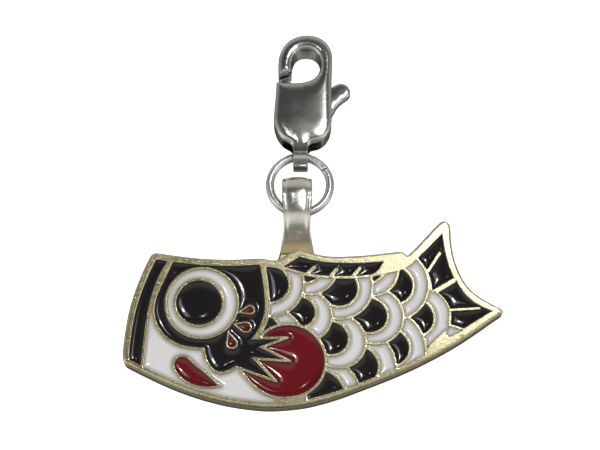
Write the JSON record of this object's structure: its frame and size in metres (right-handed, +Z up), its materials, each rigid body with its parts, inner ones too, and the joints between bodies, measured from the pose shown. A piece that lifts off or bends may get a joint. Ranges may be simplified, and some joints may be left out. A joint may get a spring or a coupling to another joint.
{
  "type": "carp streamer enamel charm with lobster clasp",
  "caption": "Flat enamelled metal fish charm with raised outlines, hung from a glued bail, a jump ring and a sprung lobster clasp.",
  "frame": {"origin": "on the table under the middle of the whole chain, charm lying enamelled face up with its clasp stretched out behind it", "axes": "+X from the mouth to the tail, +Y from the belly to the clasp, +Z up out of the table; the enamelled face leans 4.1 degrees because the plate rests on its bail"},
  "size_m": [0.0376, 0.0404, 0.0035],
  "materials": {
    "gold_plate": "gold plated, fine struck grain",
    "enamel_black": "gloss soft enamel",
    "enamel_white": "gloss soft enamel",
    "enamel_red": "gloss soft enamel",
    "bail_silver": "bright silver plate",
    "adhesive": "clear hardened adhesive",
    "ring_steel": "polished steel wire",
    "clasp_steel": "polished stainless steel",
    "trigger_steel": "polished stainless steel",
    "spring_wire": "drawn spring wire",
    "rivet_steel": "polished pin"
  },
  "bodies": {
    "charm": {"charm_plate": "gold_plate", "mouth_band_black": "enamel_black", "jaw_white": "enamel_white", "head_black": "enamel_black", "eye_white": "enamel_white", "pupil_black": "enamel_black", "mouth_leaf_red": "enamel_red", "cheek_drop_upper_red": "enamel_red", "cheek_drop_middle_red": "enamel_red", "cheek_drop_lower_red": "enamel_red", "disc_red": "enamel_red", "scale_gill_black": "enamel_black", "scale_gill_white": "enamel_white", "scale_corner_black": "enamel_black", "scale_corner_white": "enamel_white", "scale_a1_black": "enamel_black", "scale_a1_white": "enamel_white", "scale_a2_black": "enamel_black", "scale_a2_white": "enamel_white", "scale_b1_black": "enamel_black", "scale_b1_white": "enamel_white", "scale_b2_black": "enamel_black", "scale_b2_white": "enamel_white", "scale_b3_black": "enamel_black", "scale_b3_white": "enamel_white", "scale_c1_black": "enamel_black", "scale_c1_white": "enamel_white", "scale_c2_black": "enamel_black", "scale_c2_white": "enamel_white", "scale_c3_black": "enamel_black", "scale_c3_white": "enamel_white", "scale_d1_black": "enamel_black", "scale_d1_white": "enamel_white", "scale_d2_black": "enamel_black", "scale_d2_white": "enamel_white", "scale_e1_black": "enamel_black", "scale_e1_white": "enamel_white", "back_fin_black": "enamel_black", "tail_upper_black": "enamel_black", "tail_lower_black": "enamel_black", "tail_white": "enamel_white", "bail": "bail_silver", "bail_glue": "adhesive"},
    "jump_ring": {"jump_ring": "ring_steel"},
    "clasp": {"clasp_body": "clasp_steel", "clasp_rivet": "rivet_steel"},
    "trigger": {"clasp_trigger": "trigger_steel", "clasp_spring": "spring_wire"}
  },
  "joints": [
    {"name": "ring_swing", "type": "hinge", "parent": "charm", "child": "jump_ring", "pos_m": [-0.00135, 0.00047, 0.0015], "axis": [1, 0, 0], "range_deg": [-90, 90]},
    {"name": "clasp_swing", "type": "hinge", "parent": "jump_ring", "child": "clasp", "pos_m": [-0.00135, 0.00663, 0.0015], "axis": [1, 0, 0], "range_deg": [-100, 100]},
    {"name": "trigger_open", "type": "hinge", "parent": "clasp", "child": "trigger", "pos_m": [-0.0012, 0.0103, 0.0015], "axis": [0, 0, -1], "range_deg": [0, 22], "stiffness_Nm_per_rad": 0.008, "springref_deg": -17.19, "deforming": ["clasp_spring"]}
  ]
}
